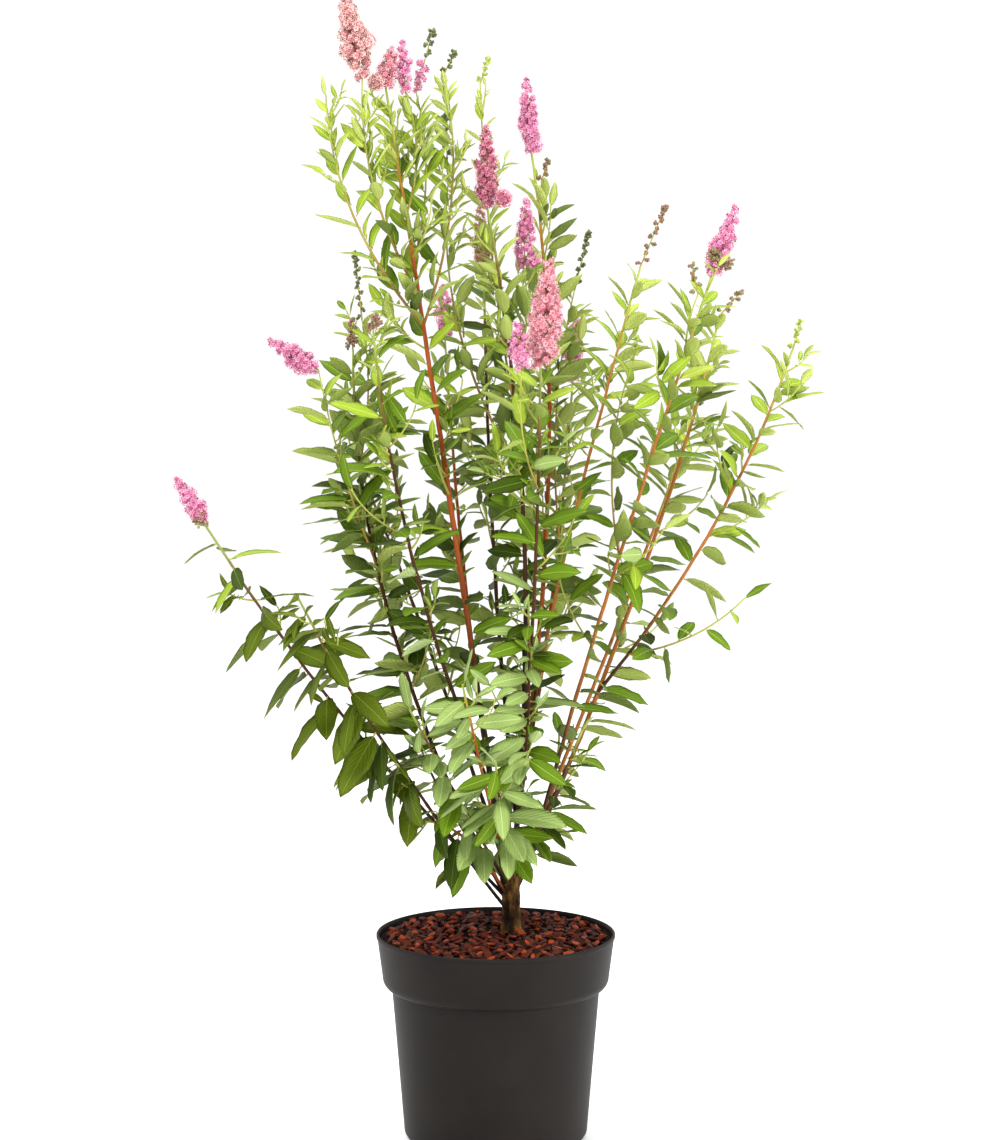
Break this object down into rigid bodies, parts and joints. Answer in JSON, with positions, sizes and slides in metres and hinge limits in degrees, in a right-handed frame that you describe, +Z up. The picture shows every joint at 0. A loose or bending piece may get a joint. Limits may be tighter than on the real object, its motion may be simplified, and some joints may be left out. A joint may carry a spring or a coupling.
{
  "type": "potted flowering shrub",
  "caption": "Upright pink-flowering spirea shrub with arching stems, toothed green leaves and flower spikes, growing in a round dark nursery pot.",
  "frame": {"origin": "middle of the pot's flat underside, on the surface that the pot stands on", "axes": "+Z up; +X is the right side and -Y the side that faces the viewer"},
  "size_m": [0.5877, 0.4769, 1.09],
  "materials": {
    "pot": "satin",
    "potting_bark": "rough",
    "trunk_bark": "rough",
    "bough_bark": "semi-rough",
    "foliage": "satin leaves"
  },
  "bodies": {
    "root": {"pot": "pot", "potting_bark": "potting_bark", "trunk": "trunk_bark", "bough_main": "bough_bark", "bough_centre": "bough_bark", "bough_tall_back": "bough_bark", "bough_right_inner": "bough_bark", "bough_left": "bough_bark", "bough_far_left": "bough_bark", "bough_low_left": "bough_bark", "bough_back_far_left": "bough_bark", "bough_back_far_right": "bough_bark", "bough_right_main": "bough_bark", "bough_salmon": "bough_bark", "bough_left_inner": "bough_bark", "bough_back_left": "bough_bark", "bough_back": "bough_bark", "bough_back_right": "bough_bark", "bough_bud_right": "bough_bark", "bough_right_outer": "bough_bark", "foliage_main": "foliage", "foliage_centre": "foliage", "foliage_tall_back": "foliage", "foliage_right_inner": "foliage", "foliage_left": "foliage", "foliage_far_left": "foliage", "foliage_low_left": "foliage", "foliage_back_far_left": "foliage", "foliage_back_far_right": "foliage", "foliage_right_main": "foliage", "foliage_salmon": "foliage", "foliage_left_inner": "foliage", "foliage_back_left": "foliage", "foliage_back": "foliage", "foliage_back_right": "foliage", "foliage_bud_right": "foliage", "foliage_right_outer": "foliage", "foliage_low_front": "foliage", "foliage_low_front_left": "foliage", "foliage_low_front_right": "foliage", "foliage_low_nearest": "foliage", "foliage_low_middle": "foliage", "foliage_low_side": "foliage", "foliage_low_back": "foliage", "foliage_low_back_left": "foliage", "foliage_low_back_right": "foliage"}
  },
  "joints": []
}
